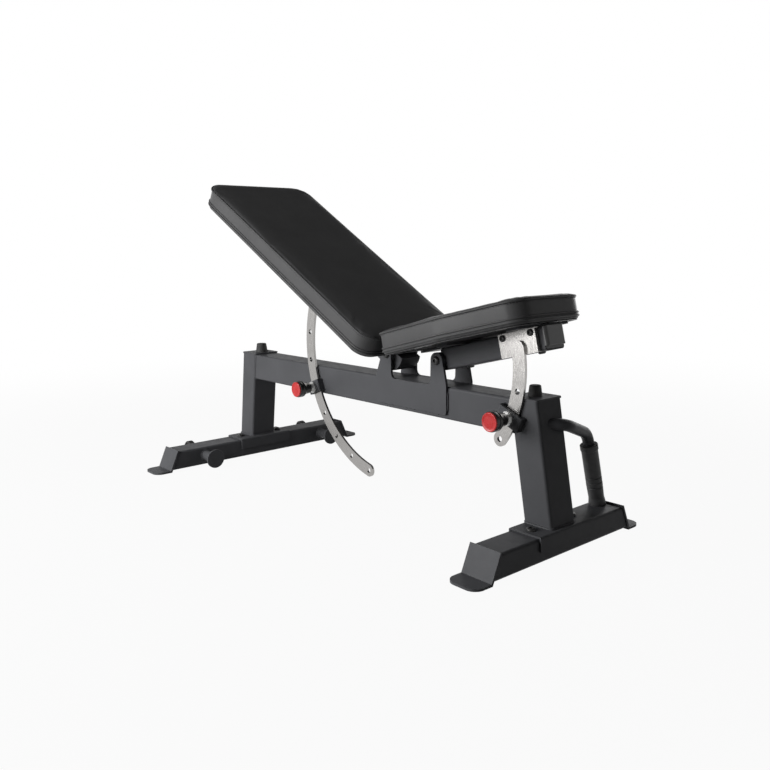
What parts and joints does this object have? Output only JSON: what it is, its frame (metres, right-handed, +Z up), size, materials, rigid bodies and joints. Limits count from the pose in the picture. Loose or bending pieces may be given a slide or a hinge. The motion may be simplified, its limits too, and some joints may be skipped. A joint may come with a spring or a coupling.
{
  "type": "adjustable weight bench",
  "caption": "Adjustable weight bench with a tilting back pad and seat, notched ladder bars held by spring pull pins, a tube frame, band pegs, rear wheels and a carry handle.",
  "frame": {"origin": "on the floor, under the middle of the bench's outer box", "axes": "+X along the bench towards the seat end, +Y towards the carry-handle side (the left of someone who sits on the seat and faces +X), +Z up"},
  "size_m": [1.2776, 0.734, 0.8191],
  "materials": {
    "frame_paint": "satin black powder coat",
    "pad_cover": "fine-grained black vinyl over foam",
    "board": "plywood with a black cloth underside",
    "ladder_steel": "brushed bright steel",
    "knob_plastic": "matte black plastic",
    "knob_cap_red": "plain glossy red plastic",
    "rubber": "matte black rubber",
    "wheel_plastic": "matte black moulded plastic",
    "cap_plastic": "matte black moulded plastic",
    "black_bolts": "black oxide steel",
    "plain_steel": "zinc-plated steel"
  },
  "bodies": {
    "frame": {"back_ladder_guide": "frame_paint", "back_pin_housing": "plain_steel", "band_pegs": "frame_paint", "carry_handle": "frame_paint", "front_bumper": "rubber", "front_left_foot": "frame_paint", "front_post": "frame_paint", "front_post_cap": "frame_paint", "front_right_foot": "frame_paint", "front_saddle": "frame_paint", "front_stabiliser": "frame_paint", "handle_grip": "rubber", "left_pivot_plate": "frame_paint", "main_beam": "frame_paint", "pivot_bolts": "black_bolts", "pivot_nuts": "black_bolts", "rear_bumper": "rubber", "rear_left_foot": "frame_paint", "rear_post": "frame_paint", "rear_post_cap": "frame_paint", "rear_right_foot": "frame_paint", "rear_saddle": "frame_paint", "rear_stabiliser": "frame_paint", "right_pivot_plate": "frame_paint", "saddle_bolts": "black_bolts", "seat_ladder_guide": "frame_paint", "seat_pin_housing": "plain_steel", "wheel_axles": "black_bolts", "wheel_brackets": "frame_paint"},
    "backrest": {"back_board": "board", "back_hub": "plain_steel", "back_ladder": "ladder_steel", "back_ladder_bolts": "black_bolts", "back_ladder_plate": "ladder_steel", "back_pad": "pad_cover", "back_pad_bolts": "black_bolts", "back_pad_brackets": "frame_paint", "back_support_tube": "frame_paint", "back_tube_cap": "cap_plastic"},
    "seat": {"seat_board": "board", "seat_hub": "plain_steel", "seat_ladder": "ladder_steel", "seat_ladder_bolts": "black_bolts", "seat_ladder_plate": "ladder_steel", "seat_pad": "pad_cover", "seat_pad_bolts": "black_bolts", "seat_pad_brackets": "frame_paint", "seat_support_tube": "frame_paint", "seat_tube_cap": "cap_plastic"},
    "back_pin": {"back_knob": "knob_plastic", "back_knob_cap": "knob_cap_red", "back_pin_plunger": "plain_steel", "back_pin_spring": "plain_steel"},
    "seat_pin": {"seat_knob": "knob_plastic", "seat_knob_cap": "knob_cap_red", "seat_pin_plunger": "plain_steel", "seat_pin_spring": "plain_steel"},
    "left_wheel": {"left_wheel": "wheel_plastic"},
    "right_wheel": {"right_wheel": "wheel_plastic"}
  },
  "joints": [
    {"name": "backrest_tilt", "type": "hinge", "parent": "frame", "child": "backrest", "pos_m": [0.12725, 0, 0.376], "axis": [0, 1, 0], "range_deg": [-27.6, 55.2]},
    {"name": "seat_tilt", "type": "hinge", "parent": "frame", "child": "seat", "pos_m": [0.30025, 0, 0.376], "axis": [0, -1, 0], "range_deg": [-13.8, 13.8]},
    {"name": "back_pin_pull", "type": "slide", "parent": "frame", "child": "back_pin", "axis": [0, -1, 0], "range_m": [-0.009, 0], "stiffness_N_per_m": 1200, "springref_m": -0.02, "deforming": ["back_pin_spring"]},
    {"name": "seat_pin_pull", "type": "slide", "parent": "frame", "child": "seat_pin", "axis": [0, -1, 0], "range_m": [-0.009, 0], "stiffness_N_per_m": 1200, "springref_m": -0.02, "deforming": ["seat_pin_spring"]},
    {"name": "left_wheel_spin", "type": "hinge", "parent": "frame", "child": "left_wheel", "pos_m": [-0.61375, 0.206, 0.032], "axis": [0, 1, 0], "continuous": true},
    {"name": "right_wheel_spin", "type": "hinge", "parent": "frame", "child": "right_wheel", "pos_m": [-0.61375, -0.206, 0.032], "axis": [0, 1, 0], "continuous": true}
  ]
}
